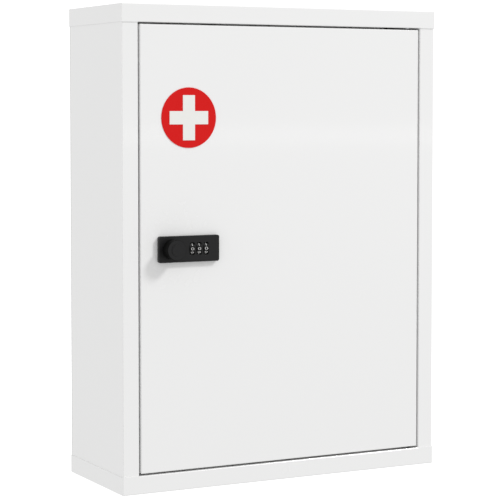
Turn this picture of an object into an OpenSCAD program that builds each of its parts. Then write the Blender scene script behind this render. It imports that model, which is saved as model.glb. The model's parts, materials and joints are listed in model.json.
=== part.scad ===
// Lockable medicine cabinet: a folded steel case with two shelves and one
// flush door, hung on hidden pivot pins and closed by a dial lock.
// Millimetres. X runs left to right, Y from front to back, Z up.
// The origin is the middle of the base.

/* [Case] */
// Overall width
body_w = 300; // [260:5:400]
// Overall depth, without the lock
body_d = 112; // [100:1:160]
// Overall height
body_h = 400; // [380:5:520]
// Thickness of the folded steel sheet
sheet_t = 0.6; // [0.5:0.1:1]
// Inside radius of the folds
fold_r = 0.2; // [0.1:0.1:0.8]
// Height of the top and bottom caps
cap_h = 15; // [14:0.5:20]
// Width of the front frame beside the door
stile_w = 15; // [14:0.5:20]
// Width of the side panels' flange along the back
rear_flange_w = 12; // [10:1:20]
// Width of the flange that the door closes against
stop_w = 8; // [7:0.5:10]

/* [Shelves] */
// Height of the lower shelf's top face
lower_shelf_z = 140; // [90:5:160]
// Height of the upper shelf's top face
upper_shelf_z = 265; // [240:5:300]
// Depth of the shelves' turned-down edges
shelf_lip = 12; // [8:1:20]
// From the front of the frame back to the shelves' front edge
shelf_setback = 22; // [21:1:40]
// Width of the hem under the shelves' front edge
shelf_hem = 8; // [4:0.5:12]

/* [Wall fixing] */
// Radius of the four holes in the back
wall_hole_r = 3.2; // [2:0.1:5]
// Distance between the holes, across
wall_hole_dx = 220; // [120:5:240]
// Distance between the holes, upwards
wall_hole_dz = 330; // [200:5:340]

/* [Door] */
// Gap at each side of the door
side_gap = 1.6; // [1.2:0.1:2]
// Gap above and below the door
end_gap = 1.5; // [1:0.1:2]
// Thickness of the door's sheet
door_t = 0.8; // [0.7:0.1:1.2]
// Depth of the door's folded edges
door_depth = 15; // [14:0.5:18]
// Width of the flange turned in behind the door's edges
door_return = 10; // [9:0.5:12]
// Width of the stiffener's raised web
rib_w = 40; // [20:1:60]
// Height of the stiffener's web above the door's sheet
rib_d = 11; // [6:0.5:12]
// Width of the stiffener's two welded flanges
rib_flange_w = 9; // [6:0.5:12]
// From the stiffener's end to the door's edge
rib_margin = 34; // [12:1:80]
// Radius of the door's rubber bumpers
bumper_r = 3; // [2:0.25:3.25]
// Thickness of the bumpers
bumper_t = 1.2; // [0.8:0.1:2]
// Distance from one bumper to the next
bumper_pitch = 130; // [80:5:150]

/* [Hinge] */
// Radius of the pivot pins
pin_r = 2; // [1.5:0.1:2.3]
// From the door's hinged edge to the pins' axis
pin_inset = 9; // [8:0.5:12]
// Wall of the bushes round the pins
bush_wall = 1; // [0.8:0.1:1.2]
// Length of the bushes inside the door
bush_len = 10; // [6:1:16]
// Thickness of the bushes' collar
collar_t = 0.8; // [0.5:0.1:0.8]
// Width of the collar round the bush
collar_rim = 0.9; // [0.5:0.1:1.2]
// Thickness of the plates that stiffen the frame at the pins
plate_t = 2; // [1.5:0.25:4]
// Width of the plates behind the bushes
plate_margin = 6; // [3:0.5:8]
// Radius of the pins' heads
pin_head_r = 3.4; // [2.8:0.1:4.5]
// Thickness of the pins' heads
pin_head_t = 1.6; // [1:0.1:3]
// How far the pins reach past the bushes
pin_tip = 1; // [0.5:0.5:2]
// Clear space round the door's rear corner as it swings
swing_gap = 2; // [1:0.5:4]

/* [Emblem] */
// Radius of the red disc
disc_r = 24.8; // [10:0.1:40]
// From the door's free edge to the disc's centre
disc_inset = 43.7; // [42:0.1:60]
// From the door's top edge to the disc's centre
disc_drop = 75.9; // [45:0.1:90]
// Thickness of the disc
disc_t = 0.4; // [0.2:0.1:1]
// Width of the cross
cross_w = 35; // [12:0.1:40]
// Height of the cross
cross_h = 37; // [12:0.1:40]
// Width of the cross's arms
cross_arm = 10.9; // [3:0.1:11.8]
// Thickness of the cross
cross_t = 0.2; // [0.1:0.1:0.6]

/* [Lock front] */
// Width of the lock's front plate
lock_w = 54.6; // [54:0.1:64]
// Height of the front plate
lock_h = 21.6; // [20.8:0.1:26]
// Thickness of the front plate
lock_t = 3.5; // [3:0.1:5]
// Corner radius of the front plate
lock_corner_r = 1.6; // [0.5:0.1:4]
// From the door's free edge to the knob's axis
knob_inset = 26.8; // [22:0.1:30]
// From the front plate's end to the knob's axis
knob_end = 11.6; // [10.5:0.1:13]
// Radius of the knob's face
knob_r = 8.4; // [6:0.1:9]
// Radius of the knob at its foot
knob_foot_r = 8.3; // [5.5:0.1:9]
// Height of the knob's rim
knob_h = 9.4; // [7:0.1:14]
// Gap behind the knob
knob_gap = 0.2; // [0.1:0.1:0.5]
// Bevel round the knob's face
knob_bevel = 0.3; // [0.2:0.1:1]
// Radius of the raised cap in the middle of the knob's face
knob_cap_r = 4.6; // [3:0.1:4.8]
// Height of the cap above the face
knob_cap_h = 0.4; // [0.2:0.1:0.8]
// Thickness of the knob's face in front of the spindle
knob_face_t = 2.2; // [1.5:0.1:3]

/* [Dials] */
// Number of dials
dials = 3; // [3:1:3]
// From the knob's axis to the first dial
first_dial = 18.3; // [17.5:0.1:22]
// Distance from one dial to the next
dial_pitch = 6.3; // [6.2:0.1:7]
// Width of a dial
dial_w = 4.6; // [4:0.1:4.7]
// Radius of a dial
dial_r = 5.8; // [5.4:0.1:6.2]
// How far a dial's ten flats lie below its rounded corners
dial_flat = 0.15; // [0.1:0.05:0.3]
// Radius of the finger grooves between a dial's numbers
groove_r = 0.4; // [0.2:0.05:0.5]
// How far the dials stand out of the front plate
dial_proud = 1; // [0.6:0.1:1.4]
// Height of the window round a dial
window_h = 10.5; // [10:0.1:12]
// Clear space on each side of a dial in its window
window_gap = 0.2; // [0.15:0.05:0.3]
// Corner radius of a window
window_corner_r = 1.8; // [0.6:0.1:2]
// Thickness of the front plate round the windows
window_edge_t = 0.5; // [0.3:0.1:0.6]
// Radius of the dials' axle
axle_r = 1; // [0.8:0.1:1.2]
// Radius of the code sleeve inside a dial
sleeve_r = 2.2; // [1.8:0.1:2.4]
// Radius of the code sleeve's notched disc
gate_r = 3.2; // [2.8:0.1:3.5]
// Thickness of the notched disc
gate_t = 1.2; // [0.8:0.1:1.2]
// Depth of its notch
gate_notch = 0.8; // [0.4:0.1:1]

/* [Lock works] */
// Height of the case behind the front plate
case_h = 18.4; // [17.8:0.1:19.4]
// Wall of the case
case_wall = 1.2; // [0.8:0.1:1.4]
// Thickness of the front plate in front of the works
face_t = 1.2; // [1:0.1:1.6]
// Room for the detent spring behind the dials
spring_room = 3.4; // [3:0.1:4]
// Thickness of the case's cover
cover_t = 1.2; // [0.8:0.1:1.6]
// Radius of the spindle
spindle_r = 3; // [2.6:0.1:3.2]
// Wall of the spindle's boss
boss_wall = 1.6; // [1:0.1:1.6]
// Thickness of the spindle's collar, between the boss and the cover
spindle_collar_t = 2; // [1.4:0.1:2.4]
// Width of the collar round the spindle
spindle_rim = 0.9; // [0.6:0.1:1.2]
// Width of the spindle's square end
square_w = 4.2; // [3.4:0.1:4.4]
// Width of the cam
cam_w = 12; // [8:0.5:14]
// Thickness of the cam
cam_t = 2; // [1.5:0.1:2.5]
// How far the locked cam reaches past the frame's inner edge
cam_hook = 1; // [0:0.5:8]
// Gap between the locked cam and the flange that it hooks behind
cam_gap = 0.7; // [0.5:0.1:1.5]
// Thickness of the cam's washer
washer_t = 0.6; // [0.4:0.1:1]
// Thickness of the spring strip and leaf
leaf_t = 0.3; // [0.2:0.05:0.4]
// Width of a spring finger
finger_w = 2.4; // [1.6:0.2:3.2]
// Thickness of the locking bar
bar_t = 1.5; // [1:0.1:1.6]
// Width of the locking bar
bar_w = 5; // [4:0.2:6]
// Width of the bar's teeth
tooth_w = 1.6; // [1:0.1:2]
// Travel of the code setting button
button_travel = 1.5; // [1:0.1:2]
// Radius of the code setting button
button_r = 1.5; // [1:0.1:2]
// Width and thickness of its two rims
button_rim = 0.8; // [0.5:0.1:1]

/* [Screws] */
// Thread radius of the two screws that hold the lock
lock_screw_r = 1.25; // [1:0.05:1.3]
// Thread radius of the cover's screws
cover_screw_r = 0.8; // [0.6:0.05:0.9]
// Thread radius of the cam's screw
cam_screw_r = 1.25; // [1:0.05:1.3]
// Length of the cam's screw
cam_screw_len = 6; // [4:0.5:8]
// Metal left in front of the lock's screw holes
screw_skin = 1; // [0.8:0.1:1.4]
// Metal round the cover's screw holes
post_wall = 0.8; // [0.6:0.1:1]

/* [Clearances] */
// Radial clearance of a turning or sliding fit
running = 0.05; // [0.02:0.01:0.1]
// Radial clearance of a pressed or glued seat
seat = 0.02; // [0.01:0.01:0.04]
// Radial clearance round a screw that passes through
screw_gap = 0.15; // [0.1:0.05:0.25]
// Gap between pieces that pass each other
free_gap = 0.3; // [0.25:0.05:0.4]

/* [Hidden] */

arc_steps = 4; // segments in a quarter of a fold
half_t = sheet_t / 2;
eps = 0.1; // overlap of cuts with the faces they open
shared = 2; // width of flat that two outlines of one folded sheet share

// Case
frame_y = -body_d / 2 + sheet_t; // front face of the frame and of the door
side_x = body_w / 2 - sheet_t; // outer face of the side panels
opening_x = body_w / 2 - stile_w; // half of the door opening's width
stop_y = frame_y + door_depth + bumper_t + free_gap; // front face of the stop flanges
back_y = body_d / 2 - sheet_t; // outer face of the back panel

// Door
door_x = opening_x - side_gap; // half of the door's width
door_z = cap_h + end_gap; // the door's lower edge
door_h = body_h - 2 * door_z;
door_back_y = frame_y + door_depth;
door_inner_y = frame_y + door_t; // inside face of the door's sheet
bumper_x = -door_x + bumper_r + seat;

// Hinge
bush_r = pin_r + bush_wall;
pin_x = door_x - pin_inset;
pin_y = door_inner_y + free_gap + bush_r;
corner_swing = norm([pin_inset, door_back_y - pin_y]); // reach of the door's rear corner
stop_end_x = pin_x - corner_swing - swing_gap; // the cap's stop flanges end before the pins
plate_x0 = pin_x - pin_inset;
plate_x1 = opening_x - free_gap;

// Emblem
disc_x = -door_x + disc_inset;
disc_z = door_z + door_h - disc_drop;

// Lock: depths are measured back from the door's front face
knob_x = -door_x + knob_inset;
lock_x0 = knob_x - knob_end;
lock_z = body_h / 2;
axle_d = dial_r - lock_t - dial_proud;
boss_r = spindle_r + running + boss_wall;
dial_x = [for (i = [0:dials - 1]) knob_x + first_dial + i * dial_pitch];
case_x0 = knob_x - boss_r - case_wall / 2;
case_x1 = dial_x[dials - 1] + dial_w / 2 + free_gap + case_wall;
case_d = axle_d + dial_r + spring_room;
cavity_x0 = case_x0 + case_wall;
cavity_x1 = case_x1 - case_wall;
cavity_h = case_h - 2 * case_wall;
floor_d = face_t - lock_t;
bridge_x1 = dial_x[0] - dial_w / 2 - gate_t - free_gap; // wall that carries the axle
bridge_x0 = bridge_x1 - case_wall;
boss_d = case_d - spindle_collar_t - 2 * free_gap;
post_d = axle_d + dial_r + free_gap; // front of the cover screws' posts
bar_z = -cavity_h / 2; // underside of the locking bar, from the lock's middle
bar_d0 = axle_d - bar_w / 2;
bar_d1 = axle_d + bar_w / 2;
cam_d = stop_y + sheet_t + cam_gap - frame_y;
cam_len = knob_inset + side_gap + cam_hook;
washer_d = cam_d + cam_t;
knob_back_d = -lock_t - knob_gap;
post_r = cover_screw_r + post_wall;
cover_screw_x = [(knob_x + boss_r + bridge_x0) / 2, cavity_x1 - post_r];
cover_screw_z = cavity_h / 2 - post_r;
lock_screw_x = [(lock_x0 + case_x0) / 2, (lock_x0 + lock_w + case_x1) / 2];
button_x = dial_x[1];
button_z = cavity_h / 2 - button_r - button_rim - free_gap;

white = [0.94, 0.94, 0.94];
black = [0.12, 0.12, 0.13];
steel = [0.72, 0.73, 0.75];
brass = [0.78, 0.64, 0.32];

// ---- Folded sheet ----------------------------------------------------

function along(path, i) = (path[i + 1] - path[i]) / norm(path[i + 1] - path[i]);
function left_of(v) = [-v[1], v[0]];
function turned(v, a) = [v[0] * cos(a) - v[1] * sin(a), v[0] * sin(a) + v[1] * cos(a)];
function bend_angle(v, w) = atan2(v[0] * w[1] - v[1] * w[0], v * w);

// One point of the fold at corner i, with the sheet's normal there
function fold_point(path, i, r, s) =
  let (v = along(path, i - 1), w = along(path, i), a = bend_angle(v, w), side = sign(a),
       centre = path[i] - v * r * tan(abs(a) / 2) + left_of(v) * side * r,
       normal = turned(left_of(v), a * s))
  [centre - normal * side * r, normal];

// Middle line of a folded strip, with every corner rounded
function folded_line(path, r) = let (last = len(path) - 1) concat(
  [[path[0], left_of(along(path, 0))]],
  [for (i = [1:last - 1]) for (k = [0:arc_steps]) fold_point(path, i, r, k / arc_steps)],
  [[path[last], left_of(along(path, last - 1))]]);

// Section of sheet metal of thickness t, folded along a path
module folded(path, t) {
  line = folded_line(path, fold_r + t / 2);
  polygon(concat(
    [for (p = line) p[0] + p[1] * t / 2],
    [for (i = [len(line) - 1:-1:0]) line[i][0] - line[i][1] * t / 2]));
}

// ---- Placing -----------------------------------------------------------

// An outline in Y and Z, extruded along X
module along_x(x0, x1) {
  translate([x0, 0, 0]) rotate([90, 0, 90]) linear_extrude(x1 - x0) children();
}

// An outline in X and Z, extruded along Y
module along_y(y0, y1) {
  translate([0, y1, 0]) rotate([90, 0, 0]) linear_extrude(y1 - y0) children();
}

// A box from its lowest to its highest corner
module block(low, high) {
  translate(low) cube(high - low);
}

// A round bar along Y
module rod_y(x, y0, y1, z, r) {
  translate([x, y0, z]) rotate([-90, 0, 0]) cylinder(r = r, h = y1 - y0, $fn = 64);
}

// A round bar along X
module rod_x(x0, x1, y, z, r) {
  translate([x0, y, z]) rotate([0, 90, 0]) cylinder(r = r, h = x1 - x0, $fn = 64);
}

// Corner points of a rectangle with rounded corners
function round_corner(c, r, from) =
  [for (k = [0:arc_steps]) c + r * [cos(from + k * 90 / arc_steps), sin(from + k * 90 / arc_steps)]];
function round_rect(w, h, r) = concat(
  round_corner([w / 2 - r, h / 2 - r], r, 0), round_corner([r - w / 2, h / 2 - r], r, 90),
  round_corner([r - w / 2, r - h / 2], r, 180), round_corner([w / 2 - r, r - h / 2], r, 270));

// A block centred on X and Y, with the sheet's fold radius on every edge
module folded_block(w, d, h, r) {
  intersection() {
    linear_extrude(h) polygon(round_rect(w, d, r));
    along_y(-d / 2, d / 2) translate([0, h / 2]) polygon(round_rect(w, h, r));
    along_x(-w / 2, w / 2) translate([0, h / 2]) polygon(round_rect(d, h, r));
  }
}

// ---- Case --------------------------------------------------------------

// A cap: a shallow pan whose front flange turns in as the edge of the door opening
module cap() {
  pan_h = cap_h * 2;
  difference() {
    folded_block(body_w, body_d, pan_h, fold_r + sheet_t);
    block([-side_x, frame_y, sheet_t], [side_x, back_y, pan_h + eps]);
    block([-body_w, -body_d, cap_h], [body_w, body_d, pan_h + eps]);
    block([-opening_x, -body_d, cap_h - sheet_t - fold_r], [opening_x, frame_y + eps, pan_h]);
  }
  difference() {
    union() {
      along_x(-opening_x, opening_x)
        folded([[frame_y - half_t, cap_h - sheet_t - fold_r],
                [frame_y - half_t, cap_h - half_t],
                [stop_y - fold_r, cap_h - half_t]], sheet_t);
      along_x(stop_w - opening_x, stop_end_x)
        folded([[stop_y - shared, cap_h - half_t],
                [stop_y + half_t, cap_h - half_t],
                [stop_y + half_t, cap_h + stop_w]], sheet_t);
    }
    translate([pin_x, pin_y, 0]) cylinder(r = pin_r + seat, h = cap_h + stop_w, $fn = 64);
  }
}

module top_cap() {
  color(white) translate([0, 0, body_h]) mirror([0, 0, 1]) cap();
}

module bottom_cap() {
  color(white) cap();
}

// The left side: rear flange, side, front frame, and the flange behind the door
module left_side_panel() {
  color(white) translate([0, 0, sheet_t]) linear_extrude(body_h - 2 * sheet_t)
    folded([[rear_flange_w - side_x, back_y - sheet_t - half_t],
            [half_t - side_x, back_y - sheet_t - half_t],
            [half_t - side_x, frame_y + half_t],
            [-opening_x - half_t, frame_y + half_t],
            [-opening_x - half_t, stop_y + half_t],
            [stop_w - opening_x, stop_y + half_t]], sheet_t);
}

// The hinged side has no stop flange, because the door's edge swings through there
module right_side_panel() {
  color(white) translate([0, 0, sheet_t]) linear_extrude(body_h - 2 * sheet_t)
    folded([[side_x - rear_flange_w, back_y - sheet_t - half_t],
            [side_x - half_t, back_y - sheet_t - half_t],
            [side_x - half_t, frame_y + half_t],
            [opening_x + half_t, frame_y + half_t],
            [opening_x + half_t, stop_y + sheet_t]], sheet_t);
}

module back_panel() {
  color(white) difference() {
    block([-side_x, back_y - sheet_t, sheet_t], [side_x, back_y, body_h - sheet_t]);
    for (x = [-1, 1] * wall_hole_dx / 2, z = [-1, 1] * wall_hole_dz / 2)
      rod_y(x, back_y - sheet_t - eps, back_y + eps, body_h / 2 + z, wall_hole_r);
  }
}

// A shelf: its front edge is hemmed, and the other three are welded to the case
module shelf(top_z) {
  x = side_x - sheet_t;
  front = frame_y + shelf_setback;
  back = back_y - 2 * sheet_t - fold_r;
  color(white) translate([0, 0, top_z]) {
    along_x(-x, x)
      folded([[front + shelf_hem, -shelf_lip + half_t], [front + half_t, -shelf_lip + half_t],
              [front + half_t, -half_t], [back - half_t, -half_t],
              [back - half_t, -shelf_lip]], sheet_t);
    for (side = [-1, 1])
      along_y(front + sheet_t, back - sheet_t)
        folded([[side * (x - half_t), -shelf_lip], [side * (x - half_t), -half_t],
                [side * (x - shared), -half_t]], sheet_t);
  }
}

module upper_shelf() {
  shelf(upper_shelf_z);
}

module lower_shelf() {
  shelf(lower_shelf_z);
}

// ---- Hinge -------------------------------------------------------------

// Draws the lower hinge's piece, and its mirror image at the top
module both_hinges() {
  children();
  translate([0, 0, body_h]) mirror([0, 0, 1]) children();
}

module hinge_plates() {
  top = cap_h - sheet_t;
  color(steel) both_hinges() difference() {
    block([plate_x0, frame_y + sheet_t + fold_r, top - plate_t],
          [plate_x1, pin_y + bush_r + plate_margin, top]);
    translate([pin_x, pin_y, 0]) cylinder(r = pin_r + seat, h = cap_h, $fn = 64);
  }
}

module hinge_pins() {
  seat_z = cap_h - sheet_t - plate_t;
  color(steel) both_hinges() translate([pin_x, pin_y, 0]) {
    translate([0, 0, seat_z - pin_head_t]) cylinder(r = pin_head_r, h = pin_head_t, $fn = 64);
    translate([0, 0, seat_z - eps])
      cylinder(r = pin_r, h = door_z + bush_len + pin_tip - seat_z + eps, $fn = 64);
  }
}

module hinge_bushes() {
  color(black) both_hinges() translate([pin_x, pin_y, 0]) difference() {
    union() {
      translate([0, 0, door_z - collar_t]) cylinder(r = bush_r + collar_rim, h = collar_t, $fn = 64);
      translate([0, 0, door_z - eps]) cylinder(r = bush_r, h = bush_len + eps, $fn = 64);
    }
    cylinder(r = pin_r + running, h = door_z + bush_len + eps, $fn = 64);
  }
}

// ---- Door --------------------------------------------------------------

// Rubber bumpers glued to the flange behind the door's free edge
module door_bumpers() {
  color(black) for (step = [-1, 0, 1])
    rod_y(bumper_x, stop_y - bumper_t, stop_y, body_h / 2 + step * bumper_pitch, bumper_r);
}

// The door: a pan folded back on four sides and turned in again behind
module door_panel() {
  inner_x = door_x - door_t;
  color(white) difference() {
    translate([0, frame_y + door_depth / 2, door_z])
      folded_block(2 * door_x, door_depth, door_h, fold_r + door_t);
    block([-inner_x, door_inner_y, door_z + door_t],
          [inner_x, door_back_y - door_t, door_z + door_h - door_t]);
    block([door_return - door_x, door_inner_y, door_z + door_return],
          [door_x - door_return, door_back_y + eps, door_z + door_h - door_return]);
    translate([pin_x, pin_y, 0]) cylinder(r = bush_r + seat, h = body_h, $fn = 64);
    block([case_x0 - seat, frame_y - eps, lock_z - case_h / 2 - seat],
          [case_x1 + seat, door_inner_y + eps, lock_z + case_h / 2 + seat]);
    for (x = lock_screw_x)
      rod_y(x, frame_y - eps, door_inner_y + eps, lock_z, lock_screw_r + screw_gap);
  }
}

// A hat section welded up the middle of the door's inside
module door_stiffener() {
  color(white) translate([0, 0, door_z + rib_margin]) linear_extrude(door_h - 2 * rib_margin)
    folded([[-rib_w / 2 - rib_flange_w, door_inner_y + half_t],
            [-rib_w / 2, door_inner_y + half_t],
            [-rib_w / 2, door_inner_y + rib_d - half_t],
            [rib_w / 2, door_inner_y + rib_d - half_t],
            [rib_w / 2, door_inner_y + half_t],
            [rib_w / 2 + rib_flange_w, door_inner_y + half_t]], sheet_t);
}

module emblem_disc() {
  color([0.83, 0.14, 0.14]) rod_y(disc_x, frame_y - disc_t, frame_y, disc_z, disc_r);
}

module emblem_cross() {
  color(white) translate([disc_x, 0, disc_z]) along_y(frame_y - disc_t - cross_t, frame_y - disc_t) {
    square([cross_w, cross_arm], center = true);
    square([cross_arm, cross_h], center = true);
  }
}

// ---- Lock --------------------------------------------------------------

// A box by its X span, its depth span and its Z span from the lock's middle
module lock_block(x, d, z) {
  block([x[0], frame_y + d[0], lock_z + z[0]], [x[1], frame_y + d[1], lock_z + z[1]]);
}

// A round bar along Y by its depth span
module lock_rod(x, d, z, r) {
  rod_y(x, frame_y + d[0], frame_y + d[1], lock_z + z, r);
}

// Die-cast housing: front plate, windows, case, spindle boss and axle bridge
module lock_housing() {
  color(black) difference() {
    union() {
      translate([lock_x0 + lock_w / 2, 0, lock_z]) along_y(frame_y - lock_t, frame_y)
        polygon(round_rect(lock_w, lock_h, lock_corner_r));
      lock_block([case_x0, case_x1], [-eps, case_d], [-case_h / 2, case_h / 2]);
    }
    cavity();
    for (x = dial_x) dial_window(x);
    lock_rod(knob_x, [-lock_t - eps, boss_d + eps], 0, spindle_r + running);
    rod_x(bridge_x0 - eps, bridge_x1 + eps, frame_y + axle_d, lock_z, axle_r + seat);
    lock_block([bridge_x0 - eps, bridge_x1 + eps], [bar_d0 - running, bar_d1 + running],
               [bar_z, bar_z + bar_t + running]);
    for (x = cover_screw_x)
      lock_rod(x, [post_d, case_d + eps], cover_screw_z, cover_screw_r + seat);
    for (x = lock_screw_x) lock_rod(x, [screw_skin - lock_t, eps], 0, lock_screw_r + seat);
  }
}

// The hollow of the case, less the boss, the bridge and the screw posts
module cavity() {
  top = cavity_h / 2;
  difference() {
    lock_block([cavity_x0, cavity_x1], [floor_d, case_d + eps], [-top, top]);
    lock_rod(knob_x, [floor_d - eps, boss_d], 0, boss_r);
    lock_block([bridge_x0, bridge_x1], [floor_d - eps, case_d - free_gap], [-top - eps, top + eps]);
    for (x = cover_screw_x)
      lock_block([x - post_r, x + post_r], [post_d, case_d + 2 * eps],
                 [cover_screw_z - post_r, top + eps]);
  }
}

// A dial's window, with room behind its edge for the dial's round flank
module dial_window(x) {
  w = dial_w + 2 * window_gap;
  translate([x, 0, lock_z]) along_y(frame_y - lock_t - eps, frame_y + floor_d + eps)
    polygon(round_rect(w, window_h, window_corner_r));
  lock_block([x - w / 2, x + w / 2], [window_edge_t - lock_t, floor_d + eps],
             [-window_h / 2, window_h / 2]);
}

module lock_cover() {
  color(black) difference() {
    lock_block([case_x0, case_x1], [case_d, case_d + cover_t], [-case_h / 2, case_h / 2]);
    lock_rod(knob_x, [case_d - eps, case_d + cover_t + eps], 0, spindle_r + running);
    lock_rod(button_x, [case_d - eps, case_d + cover_t + eps], button_z, button_r + running);
    for (x = cover_screw_x)
      lock_rod(x, [case_d - eps, case_d + cover_t + eps], cover_screw_z, cover_screw_r + screw_gap);
  }
}

// A pan head screw along Y: its head is behind depth d
module screw(x, z, d, r, len) {
  head_r = 1.9 * r;
  head_h = 1.2 * r;
  difference() {
    union() {
      lock_rod(x, [d - len, d + eps], z, r);
      lock_rod(x, [d, d + head_h], z, head_r);
    }
    for (w = [[head_r * 1.2, r * 0.4], [r * 0.4, head_r * 1.2]])
      lock_block([x - w[0] / 2, x + w[0] / 2], [d + head_h / 2, d + head_h + eps],
                 [z - w[1] / 2, z + w[1] / 2]);
  }
}

module cover_screws() {
  color(steel) for (x = cover_screw_x)
    screw(x, cover_screw_z, case_d + cover_t, cover_screw_r, cover_t + case_d - post_d - free_gap);
}

module lock_screws() {
  color(steel) for (x = lock_screw_x)
    screw(x, 0, door_t, lock_screw_r, door_t + lock_t - screw_skin - free_gap);
}

module dial_axle() {
  color(steel)
    rod_x(bridge_x0 - free_gap, cavity_x1, frame_y + axle_d, lock_z, axle_r);
}

// Spring strip with one finger behind each dial
module detent_spring() {
  half = leaf_t / 2;
  d_base = case_d - half;
  d_tip = axle_d + dial_r + free_gap + half;
  root_z = bar_z + bar_t;
  bend_z = root_z + shared + half;
  tip = finger_w / 2;
  module leaf(x0, x1, path) {
    translate([0, frame_y, lock_z]) along_x(x0, x1) folded(path, leaf_t);
  }
  color(steel) {
    leaf(dial_x[0] - dial_w / 2, dial_x[dials - 1] + dial_w / 2,
         [[d_base, root_z], [d_base, root_z + shared]]);
    for (x = dial_x)
      leaf(x - tip, x + tip, [[d_base, root_z + shared / 2], [d_base, bend_z], [d_tip, -tip], [d_tip, tip]]);
  }
}

// Bar below the dials, with a tooth for the notch of each code sleeve
module locking_bar() {
  tooth_t = gate_t * 2 / 3;
  color(brass) {
    lock_block([knob_x + boss_r + free_gap, cavity_x1 - free_gap], [bar_d0, bar_d1],
               [bar_z, bar_z + bar_t]);
    for (x = dial_x) {
      gate_x = x - dial_w / 2 - gate_t / 2;
      lock_block([gate_x - tooth_t / 2, gate_x + tooth_t / 2],
                 [axle_d - tooth_w / 2, axle_d + tooth_w / 2],
                 [bar_z + bar_t - eps, -gate_r - free_gap]);
    }
  }
}

// Leaf that holds the bar down, clear of the sleeves
module bar_spring() {
  rest_z = bar_z + bar_t + leaf_t / 2;
  root_z = -boss_r / 3;
  x0 = knob_x + boss_r;
  x1 = bridge_x0 - free_gap;
  flat = (x1 - x0) * 0.3;
  color(steel) translate([0, frame_y + axle_d, lock_z]) along_y(-finger_w / 2, finger_w / 2)
    folded([[x0, root_z], [x0 + flat, root_z], [x1 - flat, rest_z], [x1, rest_z]], leaf_t);
}

// Button that lets the code be changed while the door is open
module code_button() {
  inner = case_d - free_gap;
  outer = case_d + cover_t + button_travel;
  color(steel) {
    lock_rod(button_x, [inner - button_rim, outer + eps], button_z, button_r);
    lock_rod(button_x, [inner - button_rim, inner], button_z, button_r + button_rim);
    lock_rod(button_x, [outer, outer + button_rim], button_z, button_r + button_rim);
  }
}

// ---- Knob --------------------------------------------------------------

module knob() {
  cap_top = knob_h + knob_cap_h;
  color(black) difference() {
    translate([knob_x, frame_y + knob_back_d, lock_z]) rotate([90, 0, 0]) rotate_extrude($fn = 96)
      polygon([[0, 0], [knob_foot_r, 0], [knob_r, knob_h - knob_bevel],
               [knob_r - knob_bevel, knob_h], [knob_cap_r, knob_h], [knob_cap_r, cap_top],
               [0, cap_top]]);
    lock_rod(knob_x, [knob_back_d - knob_h + knob_face_t, knob_back_d + eps], 0, spindle_r + seat);
  }
}

// Spindle: round through the lock, with a collar inside and a square end for the cam
module spindle() {
  half = square_w / 2;
  color(steel) difference() {
    union() {
      lock_rod(knob_x, [knob_back_d - knob_h + knob_face_t + free_gap, cam_d], 0, spindle_r);
      lock_rod(knob_x, [boss_d + free_gap, case_d - free_gap], 0, spindle_r + spindle_rim);
      lock_block([knob_x - half, knob_x + half], [cam_d - eps, cam_d + cam_t - eps], [-half, half]);
    }
    lock_rod(knob_x, [washer_d + washer_t - cam_screw_len - free_gap, washer_d + eps], 0,
             cam_screw_r + seat);
  }
}

// Cam: hangs down when unlocked, and turns left behind the frame to lock
module cam() {
  half = square_w / 2 + seat;
  color(steel) difference() {
    union() {
      lock_rod(knob_x, [cam_d, cam_d + cam_t], 0, cam_w / 2);
      lock_block([knob_x - cam_w / 2, knob_x + cam_w / 2], [cam_d, cam_d + cam_t], [-cam_len, 0]);
    }
    lock_block([knob_x - half, knob_x + half], [cam_d - eps, cam_d + cam_t + eps], [-half, half]);
  }
}

module cam_washer() {
  washer_r = square_w; // covers the cam's square hole
  color(steel) difference() {
    lock_rod(knob_x, [washer_d, washer_d + washer_t], 0, washer_r);
    lock_rod(knob_x, [washer_d - eps, washer_d + washer_t + eps], 0, cam_screw_r + screw_gap);
  }
}

module cam_screw() {
  color(steel) screw(knob_x, 0, washer_d + washer_t, cam_screw_r, cam_screw_len);
}

// ---- Dials -------------------------------------------------------------

// A ten-sided dial with its corners turned off, a finger groove at each corner
// and a bore for its sleeve
module dial(i) {
  x0 = dial_x[i] - dial_w / 2;
  side = 36; // angle from one number to the next
  color(black) difference() {
    intersection() {
      translate([x0, frame_y + axle_d, lock_z]) rotate([0, 90, 0])
        cylinder(r = (dial_r - dial_flat) / cos(side / 2), h = dial_w, $fn = 10);
      rod_x(x0 - eps, x0 + dial_w + eps, frame_y + axle_d, lock_z, dial_r);
    }
    for (a = [side / 2:side:360])
      rod_x(x0 - eps, x0 + dial_w + eps, frame_y + axle_d - dial_r * cos(a),
            lock_z + dial_r * sin(a), groove_r);
    rod_x(x0 - eps, x0 + dial_w + eps, frame_y + axle_d, lock_z, sleeve_r + seat);
  }
}

// A sleeve in the dial, with a disc beside it that is notched at the code
module code_sleeve(i) {
  x0 = dial_x[i] - dial_w / 2;
  color(brass) difference() {
    union() {
      rod_x(x0 - eps, x0 + dial_w, frame_y + axle_d, lock_z, sleeve_r);
      rod_x(x0 - gate_t, x0, frame_y + axle_d, lock_z, gate_r);
    }
    rod_x(x0 - gate_t - eps, x0 + dial_w + eps, frame_y + axle_d, lock_z, axle_r + running);
    lock_block([x0 - gate_t - eps, x0 - seat],
               [axle_d - tooth_w / 2 - free_gap, axle_d + tooth_w / 2 + free_gap],
               [-gate_r - eps, gate_notch - gate_r]);
  }
}

module dial_1() {
  dial(0);
}

module dial_2() {
  dial(1);
}

module dial_3() {
  dial(2);
}

module code_sleeve_1() {
  code_sleeve(0);
}

module code_sleeve_2() {
  code_sleeve(1);
}

module code_sleeve_3() {
  code_sleeve(2);
}

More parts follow.
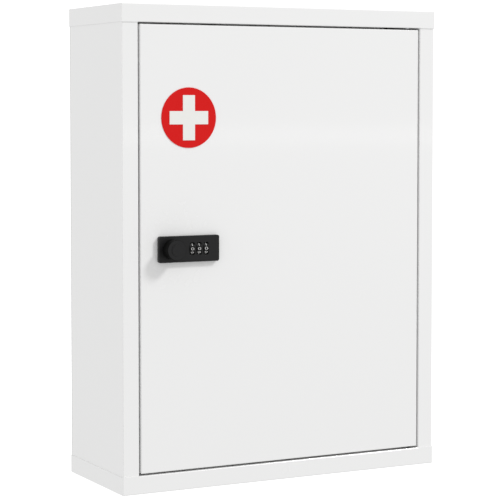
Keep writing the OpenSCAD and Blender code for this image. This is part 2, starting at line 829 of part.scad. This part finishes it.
top_cap();
bottom_cap();
left_side_panel();
right_side_panel();
back_panel();
upper_shelf();
lower_shelf();
hinge_plates();
hinge_pins();
door_bumpers();
door_panel();
door_stiffener();
hinge_bushes();
emblem_disc();
emblem_cross();
lock_housing();
lock_cover();
cover_screws();
lock_screws();
dial_axle();
detent_spring();
locking_bar();
bar_spring();
knob();
spindle();
cam();
cam_washer();
cam_screw();
dial_1();
dial_2();
dial_3();
code_sleeve_1();
code_sleeve_2();
code_sleeve_3();
code_button();
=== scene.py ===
import json
import math

import bpy
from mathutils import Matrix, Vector

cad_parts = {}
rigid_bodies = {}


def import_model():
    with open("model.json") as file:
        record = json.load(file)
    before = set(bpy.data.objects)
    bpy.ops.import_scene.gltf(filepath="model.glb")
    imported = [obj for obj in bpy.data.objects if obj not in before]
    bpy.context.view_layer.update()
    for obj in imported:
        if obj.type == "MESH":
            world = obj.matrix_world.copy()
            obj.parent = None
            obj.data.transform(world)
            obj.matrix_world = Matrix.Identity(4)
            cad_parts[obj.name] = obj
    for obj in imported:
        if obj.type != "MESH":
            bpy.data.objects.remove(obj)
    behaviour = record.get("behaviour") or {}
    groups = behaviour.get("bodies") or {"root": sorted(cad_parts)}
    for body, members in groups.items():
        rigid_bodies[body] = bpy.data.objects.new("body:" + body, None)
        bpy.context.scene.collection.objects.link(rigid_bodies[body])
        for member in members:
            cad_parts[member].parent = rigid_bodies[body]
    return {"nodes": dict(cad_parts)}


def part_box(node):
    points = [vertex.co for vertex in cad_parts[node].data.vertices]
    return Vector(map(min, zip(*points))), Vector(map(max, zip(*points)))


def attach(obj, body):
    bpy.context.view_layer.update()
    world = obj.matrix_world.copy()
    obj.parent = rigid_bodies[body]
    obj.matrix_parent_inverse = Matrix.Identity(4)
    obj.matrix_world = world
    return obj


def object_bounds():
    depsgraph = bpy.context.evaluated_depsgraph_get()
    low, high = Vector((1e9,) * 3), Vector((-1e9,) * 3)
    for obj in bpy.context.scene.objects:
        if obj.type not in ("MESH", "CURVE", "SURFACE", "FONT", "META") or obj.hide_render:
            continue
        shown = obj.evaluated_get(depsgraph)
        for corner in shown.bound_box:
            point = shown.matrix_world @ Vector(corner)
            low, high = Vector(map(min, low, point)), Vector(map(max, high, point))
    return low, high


# The looks of a lockable medicine cabinet, laid over its CAD frame. Metres: +X is the
# cabinet's right seen from the front, +Y points back to the wall and +Z up.
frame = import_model()
cad_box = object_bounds()
nodes = frame["nodes"]
objects = bpy.context.scene.collection.objects

# ---- Camera ----------------------------------------------------------------------------
# A long lens at the cabinet's front left, a little above its middle and almost level,
# so that the upright edges stay upright as they do in the photograph.

camera_place = Vector((-0.7351, -1.398, 0.318))
camera_turn = math.radians(27.608)  # from straight back towards the right
camera_dip = math.radians(2.999)
sensor_mm = 36
lens_mm = 130.55
lens_shift = -0.1

lens = bpy.data.cameras.new("camera")
lens.sensor_width = sensor_mm
lens.lens = lens_mm
lens.shift_y = lens_shift
camera = bpy.data.objects.new("camera", lens)
camera.location = camera_place
camera.rotation_euler = (math.pi / 2 - camera_dip, 0, -camera_turn)
objects.link(camera)
bpy.context.scene.camera = camera

# ---- Light -----------------------------------------------------------------------------
# A white studio: even light from all round, a soft key from the upper right front that
# draws the lock's shadow, a broad fill on the left, and a low strip that the front's
# gloss shows as a faint level band.

middle = (cad_box[0] + cad_box[1]) / 2
key_distance = 6.0
key_direction = Vector((0.57, -0.5, 0.65)).normalized()
key_side = 1.0
key_watts = 168.0
fill_place = Vector((-3.0, 0.2, 0.8))
fill_side = 2.0
fill_watts = 16.0
strip_place = Vector((1.6, -3.0, 0.236))
strip_w = 2.2
strip_h = 0.045
strip_watts = 0.7
studio_white = (1, 1, 1, 1)
studio_glow = 0.745


def studio_light(name, place, width, height, watts):
    """A rectangular light that faces the cabinet's middle and isn't seen itself."""
    light = bpy.data.lights.new(name, "AREA")
    light.shape = "RECTANGLE"
    light.size = width
    light.size_y = height
    light.energy = watts
    lamp = bpy.data.objects.new(name, light)
    lamp.location = place
    lamp.rotation_euler = (middle - place).to_track_quat("-Z", "Y").to_euler()
    lamp.visible_camera = False
    objects.link(lamp)


studio_light("key_light", middle + key_direction * key_distance, key_side, key_side, key_watts)
studio_light("left_fill", fill_place, fill_side, fill_side, fill_watts)
studio_light("gloss_strip", strip_place, strip_w, strip_h, strip_watts)

world = bpy.data.worlds.new("studio")
world.use_nodes = True
background = world.node_tree.nodes["Background"].inputs
background["Color"].default_value = studio_white
background["Strength"].default_value = studio_glow
bpy.context.scene.world = world
bpy.context.scene.view_settings.view_transform = "Standard"

# ---- Floor -----------------------------------------------------------------------------
# A white paper sweep all round: a level floor that curves up into a wall. Only the
# camera sees it, so the cabinet's light stays even, and it glows enough to stay white.


class Value:
    """A shader node's output. Sums and products of values add Math nodes beside it."""

    def __init__(self, socket):
        self.socket = socket

    def node(self, kind, settings, sockets, output=0):
        """Adds a node: its settings come first, then its sockets' values or links."""
        tree = self.socket.id_data
        made = tree.nodes.new("ShaderNode" + kind)
        for name, setting in settings.items():
            setattr(made, name, setting)
        for name, value in sockets.items():
            if isinstance(value, Value):
                tree.links.new(value.socket, made.inputs[name])
            else:
                made.inputs[name].default_value = value
        return Value(made.outputs[output]) if made.outputs else None

    def maths(self, operation, first, second):
        return self.node("Math", {"operation": operation}, {0: first, 1: second})

    def __add__(self, other):
        return self.maths("ADD", self, other)

    def __radd__(self, other):
        return self.maths("ADD", other, self)

    def __rsub__(self, other):
        return self.maths("SUBTRACT", other, self)

    def __mul__(self, other):
        return self.maths("MULTIPLY", self, other)

    def __rmul__(self, other):
        return self.maths("MULTIPLY", other, self)

    def mixed(self, low, high):
        """The colour low where this value is 0, and high where it is 1."""
        return self.node("Mix", {"data_type": "RGBA"}, {0: self, 6: low, 7: high}, 2)

    def noise(self, scale, detail=2.0):
        """Noise from 0 to 1 at this place, with scale blotches to the metre."""
        return self.node("TexNoise", {}, {"Vector": self, "Scale": scale, "Detail": detail})

    def stretched(self, factors):
        """This place, scaled along each axis."""
        return self.node("VectorMath", {"operation": "MULTIPLY"}, {0: self, 1: factors})

    def distance(self, point):
        """How far this place is from a point."""
        return self.node("VectorMath", {"operation": "DISTANCE"}, {0: self, 1: point}, 1)

    def step(self, low, high):
        """0 where this value is at most low, 1 from high on, and smooth between."""
        return self.node("MapRange", {"interpolation_type": "SMOOTHSTEP"},
                         {"Value": self, "From Min": low, "From Max": high})

    def bump(self, strength, depth):
        """A normal that this value's relief bends, depth metres deep."""
        return self.node("Bump", {}, {"Strength": strength, "Distance": depth, "Height": self})


def finish(name, surface):
    """A material: surface takes the place on the object and returns its shader."""
    made = bpy.data.materials.new(name)
    made.use_nodes = True
    made.node_tree.nodes.clear()
    place = made.node_tree.nodes.new("ShaderNodeTexCoord").outputs["Object"]
    shader = surface(Value(place))
    shader.node("OutputMaterial", {}, {"Surface": shader})
    return made


def lathe(profile, steps):
    """Points and faces of a profile of radius and height turned about the Z axis."""
    points = [(radius * math.cos(turn), radius * math.sin(turn), height)
              for radius, height in profile
              for turn in (2 * math.pi * step / steps for step in range(steps))]
    faces = [(row * steps + step, row * steps + (step + 1) % steps,
              (row + 1) * steps + (step + 1) % steps, (row + 1) * steps + step)
             for row in range(len(profile) - 1) for step in range(steps)]
    return points, faces


def piece(name, points, faces, material):
    """A smooth mesh object of these points and faces."""
    mesh = bpy.data.meshes.new(name)
    mesh.from_pydata(points, [], faces)
    mesh.polygons.foreach_set("use_smooth", [True] * len(faces))
    mesh.materials.append(material)
    made = bpy.data.objects.new(name, mesh)
    objects.link(made)
    return made


def paper(place):
    return place.node("BsdfPrincipled", {}, {
        "Base Color": place.noise(3.0).mixed((0.5, 0.5, 0.5, 1), (0.52, 0.52, 0.52, 1)),
        "Roughness": 0.9,
        "Specular IOR Level": 0.0,
        "Emission Color": studio_white,
        "Emission Strength": 0.78})


floor_drop = 0.0002  # below the base, so that the two faces stay apart
floor_hole_r = 0.001  # hidden under the cabinet
floor_inner_r = 1.0
floor_r = 5.0
sweep_r = 1.5
wall_h = 5.0
sweep_steps = 12
floor_steps = 96
sweep = [(floor_hole_r, -floor_drop), (floor_inner_r, -floor_drop)]
for step in range(sweep_steps + 1):
    turn = math.pi / 2 * step / sweep_steps
    sweep.append((floor_r + sweep_r * math.sin(turn), sweep_r * (1 - math.cos(turn)) - floor_drop))
sweep.append((floor_r + sweep_r, wall_h))
floor = piece("floor", *lathe(sweep, floor_steps), finish("paper", paper))
floor.visible_diffuse = False
floor.visible_glossy = False
floor.visible_shadow = False

# ---- Caps ------------------------------------------------------------------------------
# The top and bottom caps: pans folded from 0.6 mm steel, welded over the sides. All
# the case's sheets have one white powder coat, with its slight orange peel.

case_dulling = 0.08


def powder_coat(place, wear, dulling):
    """The coat's shader. Where wear is 1 it is a shade darker, and rougher by dulling."""
    peel = place.noise(420.0, 1.5)
    grain = place.noise(2600.0)
    drift = place.noise(7.0)
    shade = drift * 0.7 + wear * 0.3
    return place.node("BsdfPrincipled", {}, {
        "Base Color": shade.mixed((0.868, 0.868, 0.866, 1), (0.85, 0.85, 0.846, 1)),
        "Roughness": 0.2 + 0.05 * drift + dulling * wear,
        "Coat Weight": 0.35,
        "Coat Roughness": 0.06,
        "Normal": (peel + 0.25 * grain).bump(0.3, 0.00004)})


def case_coat(place):
    dust = place.noise(60.0, 6.0).step(0.62, 0.8)
    return powder_coat(place, dust, case_dulling)


def coat(material, *names):
    """Gives CAD nodes their finish."""
    for name in names:
        nodes[name].material_slots[0].material = material


white_coat = finish("white_powder_coat", case_coat)
coat(white_coat, "top_cap", "bottom_cap")

# ---- Sides, back and shelves -----------------------------------------------------------
# Two folded sides that also make the front frame, a flat back, and two shelf trays,
# spot welded together before the case is coated.

coat(white_coat, "left_side_panel", "right_side_panel", "back_panel")
coat(white_coat, "upper_shelf", "lower_shelf")

# A weld mark's radii and heights from its rim in: a low ring round a flat dent.
weld_profile = [(0.0025, 0.0), (0.0024, 0.00002), (0.0019, 0.00009), (0.0014, 0.00002),
                (0.0003, 0.00002)]
weld_steps = 24


def weld_marks(name, centres, body):
    """Round marks of spot welds on faces that look back, under the paint."""
    mark_points, mark_faces = lathe(weld_profile, weld_steps)
    mark_faces.append(tuple(range(len(mark_points) - weld_steps, len(mark_points))))
    points = []
    faces = []
    for centre in centres:
        first = len(points)
        points += [centre + Vector((x, z, -y)) for x, y, z in mark_points]
        faces += [[first + corner for corner in face] for face in mark_faces]
    marks = piece(name, points, faces, white_coat)
    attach(marks, body)


back_low, back_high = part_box("back_panel")
back_weld_inset = 0.0062
back_weld_count = 7
back_weld_pitch = 0.055
back_weld_x = back_high.x - back_weld_inset
back_middle_z = (back_low.z + back_high.z) / 2
weld_marks("back_weld_marks",
           [Vector((x, back_high.y, back_middle_z + (row - back_weld_count // 2) * back_weld_pitch))
            for x in (-back_weld_x, back_weld_x) for row in range(back_weld_count)], "case")

# ---- Hinge -----------------------------------------------------------------------------
# Headed pins in two stiffening plates, all in zinc plated steel, turn in black
# moulded bushes that are pressed into the door.


def zinc_plate(place):
    cloud = place.noise(260.0, 4.0)
    brushed = place.stretched((400.0, 400.0, 9000.0)).noise(1.0, 3.0)
    return place.node("BsdfPrincipled", {}, {
        "Base Color": cloud.mixed((0.56, 0.57, 0.6, 1), (0.7, 0.71, 0.72, 1)),
        "Metallic": 1.0,
        "Roughness": 0.26 + 0.2 * cloud,
        "Normal": brushed.bump(0.15, 0.00002)})


def black_moulding(place):
    grain = place.noise(3200.0, 3.0)
    cloud = place.noise(300.0)
    return place.node("BsdfPrincipled", {}, {
        "Base Color": cloud.mixed((0.011, 0.011, 0.0115, 1), (0.017, 0.017, 0.0175, 1)),
        "Roughness": 0.42 + 0.14 * cloud,
        "Specular IOR Level": 0.35,
        "Normal": grain.bump(0.25, 0.00002)})


zinc = finish("zinc_plated_steel", zinc_plate)
black_plastic = finish("black_plastic", black_moulding)
coat(zinc, "hinge_plates", "hinge_pins")
coat(black_plastic, "hinge_bushes")

# ---- Bumpers ---------------------------------------------------------------------------
# Three soft black rubber discs on the frame's flange, which the closed door rests
# near and touches when it is pushed.


def soft_rubber(place):
    bloom = place.noise(500.0, 4.0)
    return place.node("BsdfPrincipled", {}, {
        "Base Color": bloom.mixed((0.03, 0.03, 0.03, 1), (0.055, 0.055, 0.053, 1)),
        "Roughness": 0.72 + 0.15 * bloom,
        "Normal": bloom.bump(0.3, 0.00004)})


coat(finish("bumper_rubber", soft_rubber), "door_bumpers")

# ---- Door ------------------------------------------------------------------------------
# A pan folded from 0.8 mm steel with a hat section welded up its middle. Its coat is
# the case's, a little duller round the knob, where hands touch it.

knob_low, knob_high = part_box("knob")
knob_middle = (knob_low + knob_high) / 2
touched_r = 0.06  # how far from the knob hands reach
most_touched_r = 0.018
door_dulling = 0.12


def door_coat(place):
    near_knob = 1 - place.distance(knob_middle).step(most_touched_r, touched_r)
    touched = near_knob * place.noise(140.0, 5.0).step(0.45, 0.7)
    return powder_coat(place, touched, door_dulling)


coat(finish("door_powder_coat", door_coat), "door_panel")
coat(white_coat, "door_stiffener")

rib_low, rib_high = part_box("door_stiffener")
rib_flange_w = 0.009  # the stiffener's flange and sheet, as the CAD folds them
rib_t = 0.0006
flange_y = rib_low.y + rib_t
rib_weld_count = 6
rib_weld_margin = 0.02
rib_weld_pitch = (rib_high.z - rib_low.z - 2 * rib_weld_margin) / (rib_weld_count - 1)
weld_marks("door_weld_marks",
           [Vector((x, flange_y, rib_low.z + rib_weld_margin + row * rib_weld_pitch))
            for x in (rib_low.x + rib_flange_w / 2, rib_high.x - rib_flange_w / 2)
            for row in range(rib_weld_count)], "door")

# ---- Emblem ----------------------------------------------------------------------------
# The first-aid sign: a red vinyl disc on the door's front, with a plain white cross
# printed on it.


def red_film(place):
    cloud = place.noise(90.0, 3.0)
    grain = place.noise(1800.0)
    return place.node("BsdfPrincipled", {}, {
        "Base Color": cloud.mixed((0.657, 0.0084, 0.0077, 1), (0.677, 0.0102, 0.0095, 1)),
        "Roughness": 0.34 + 0.08 * cloud,
        "Specular IOR Level": 0.12,
        "Normal": grain.bump(0.2, 0.00002)})


def white_ink(place):
    cloud = place.noise(300.0, 3.0)
    return place.node("BsdfPrincipled", {}, {
        "Base Color": cloud.mixed((0.82, 0.82, 0.79, 1), (0.85, 0.85, 0.82, 1)),
        "Roughness": 0.36 + 0.1 * cloud,
        "Normal": place.noise(1800.0).bump(0.15, 0.00002)})


coat(finish("red_vinyl", red_film), "emblem_disc")
coat(finish("white_print", white_ink), "emblem_cross")

# ---- Lock body -------------------------------------------------------------------------
# A die-cast housing in satin black lacquer through the door, closed behind by a
# moulded cover. Two screws hold the cover and two more hold the lock to the door.


def lacquer(place):
    cloud = place.noise(220.0, 4.0)
    grain = place.noise(4200.0, 2.0)
    rubbed = place.noise(900.0, 6.0).step(0.66, 0.8)
    return place.node("BsdfPrincipled", {}, {
        "Base Color": cloud.mixed((0.0095, 0.0095, 0.01, 1), (0.0125, 0.0125, 0.013, 1)),
        "Roughness": 0.3 + 0.1 * cloud + 0.1 * rubbed,
        "Specular IOR Level": 0.24,
        "Normal": grain.bump(0.3, 0.000015)})


coat(finish("black_lacquer", lacquer), "lock_housing")
coat(black_plastic, "lock_cover")
coat(zinc, "cover_screws", "lock_screws")

# The lacquer rounds the casting's sharp edges a little. Points that meet are joined
# first, so that the bevel finds its edges.
joined_within = 0.000001
edge_r = 0.00018
edge_steps = 2
sharp_from = math.radians(40)
modifiers = nodes["lock_housing"].modifiers
weld = modifiers.new("weld", "WELD")
weld.merge_threshold = joined_within
bevel = modifiers.new("bevel", "BEVEL")
bevel.width = edge_r
bevel.segments = edge_steps
bevel.limit_method = "ANGLE"
bevel.angle_limit = sharp_from
modifiers.new("normals", "WEIGHTED_NORMAL")

# ---- Dials -----------------------------------------------------------------------------
# Three black moulded dials on one steel axle. White numerals are printed on their ten
# flats, nought to nine, with nought at the front at rest.


def dial_moulding(place):
    grain = place.noise(2800.0, 3.0)
    worn = place.noise(700.0, 4.0).step(0.5, 0.75)
    return place.node("BsdfPrincipled", {}, {
        "Base Color": worn.mixed((0.007, 0.007, 0.0072, 1), (0.0105, 0.0105, 0.0108, 1)),
        "Roughness": 0.5 - 0.12 * worn,
        "Specular IOR Level": 0.16,
        "Normal": grain.bump(0.3, 0.00002)})


def white_numerals(place):
    cloud = place.noise(1500.0, 3.0)
    return place.node("BsdfPrincipled", {}, {
        "Base Color": cloud.mixed((0.85, 0.85, 0.83, 1), (0.92, 0.92, 0.9, 1)),
        "Roughness": 0.5 + 0.1 * cloud})


dial_flat_r = 0.00565  # from the axle's middle to a flat
numeral_h = 0.0023
numeral_spread = 1.88  # how much wider the digits are than the plain letter form
stroke_offset = -0.022  # draws the strokes' edges in, as a share of the letters' size
numeral_t = 0.00006  # how far the ink stands out of the flat, and goes into it
numeral_count = 10
numeral_ink = finish("numeral_ink", white_numerals)
coat(finish("dial_plastic", dial_moulding), "dial_1", "dial_2", "dial_3")
coat(zinc, "dial_axle")


def numeral(digit):
    """Points and faces of one digit, one unit high and centred, with its back at 0."""
    outline = bpy.data.curves.new("numeral", "FONT")
    outline.body = str(digit)
    outline.extrude = 0.5
    outline.offset = stroke_offset
    outline.resolution_u = 4
    shape = bpy.data.objects.new("numeral", outline)
    objects.link(shape)
    evaluated = shape.evaluated_get(bpy.context.evaluated_depsgraph_get())
    mesh = bpy.data.meshes.new_from_object(evaluated)
    bpy.data.objects.remove(shape)
    points = [vertex.co.copy() for vertex in mesh.vertices]
    faces = [tuple(face.vertices) for face in mesh.polygons]
    low = Vector([min(point[axis] for point in points) for axis in range(3)])
    high = Vector([max(point[axis] for point in points) for axis in range(3)])
    centre = Vector(((low.x + high.x) / 2, (low.y + high.y) / 2, low.z))
    return [(point - centre) / (high.y - low.y) for point in points], faces


def numerals(name, dial, body):
    """The ten numerals round a dial, each a step of 36 degrees above the last."""
    low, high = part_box(dial)
    axis = (low + high) / 2
    across = Vector((numeral_spread, 0, 0))
    points = []
    faces = []
    for digit in range(numeral_count):
        turn = 2 * math.pi * digit / numeral_count
        out = Vector((0, -math.cos(turn), math.sin(turn)))
        up = Vector((0, math.sin(turn), math.cos(turn)))
        first = len(points)
        digit_points, digit_faces = numeral(digit)
        points += [axis + numeral_h * (point.x * across + point.y * up)
                   + out * (dial_flat_r + (numeral_t if point.z > 0 else -numeral_t))
                   for point in digit_points]
        faces += [[first + corner for corner in face] for face in digit_faces]
    made = piece(name, points, faces, numeral_ink)
    made.data.polygons.foreach_set("use_smooth", [False] * len(faces))
    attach(made, body)


numerals("numerals_1", "dial_1", "first_dial")
numerals("numerals_2", "dial_2", "second_dial")
numerals("numerals_3", "dial_3", "third_dial")

# ---- Lock works ------------------------------------------------------------------------
# Turned brass code sleeves and a stamped brass locking bar, with a blued spring strip
# for the dials' clicks, a leaf for the bar, and a steel button that sets the code.


def turned_brass(place):
    rings = place.stretched((16000.0, 300.0, 300.0)).noise(1.0)
    tarnish = place.noise(420.0, 4.0)
    return place.node("BsdfPrincipled", {}, {
        "Base Color": tarnish.mixed((0.76, 0.56, 0.24, 1), (0.6, 0.42, 0.17, 1)),
        "Metallic": 1.0,
        "Roughness": 0.22 + 0.2 * tarnish,
        "Normal": rings.bump(0.2, 0.00001)})


def blued_spring(place):
    cloud = place.noise(700.0, 3.0)
    return place.node("BsdfPrincipled", {}, {
        "Base Color": cloud.mixed((0.2, 0.22, 0.27, 1), (0.34, 0.35, 0.38, 1)),
        "Metallic": 1.0,
        "Roughness": 0.28 + 0.15 * cloud})


brass = finish("brass_sleeve", turned_brass)
coat(brass, "code_sleeve_1", "code_sleeve_2", "code_sleeve_3", "locking_bar")
coat(finish("spring_steel", blued_spring), "detent_spring", "bar_spring")
coat(zinc, "code_button")

# ---- Knob and cam ----------------------------------------------------------------------
# A round knob in the housing's lacquer on a steel spindle, with a plain flat cam, its washer and
# its screw at the inner end. Round its side the lacquer is rougher, and painted near black as
# painted shade.

# The bevel round the face takes the side's painted shade too.
knob_edge_w = 0.0004  # the bevel round its face, which belongs to its side
knob_face_r = (knob_high.x - knob_low.x) / 2 - knob_edge_w
lacquer_fade = 0.0002


def knob_lacquer(place):
    grain = place.noise(2400.0, 3.0)
    from_axis = place.stretched((1.0, 0.0, 1.0)).distance((knob_middle.x, 0.0, knob_middle.z))
    # The side: near black with a low specular level, as painted shade where it turns from the
    # light, and rougher.
    side = place.node("BsdfPrincipled", {}, {
        "Base Color": grain.mixed((0.003, 0.003, 0.003, 1), (0.0045, 0.0045, 0.0045, 1)),
        "Roughness": 0.6 + 0.1 * grain,
        "Specular IOR Level": 0.06,
        "Normal": grain.bump(0.4, 0.00003)})
    return place.node("MixShader", {}, {
        0: from_axis.step(knob_face_r, knob_face_r + lacquer_fade), 1: lacquer(place), 2: side})


coat(finish("knob_lacquer", knob_lacquer), "knob")
coat(zinc, "spindle", "cam", "cam_washer", "cam_screw")
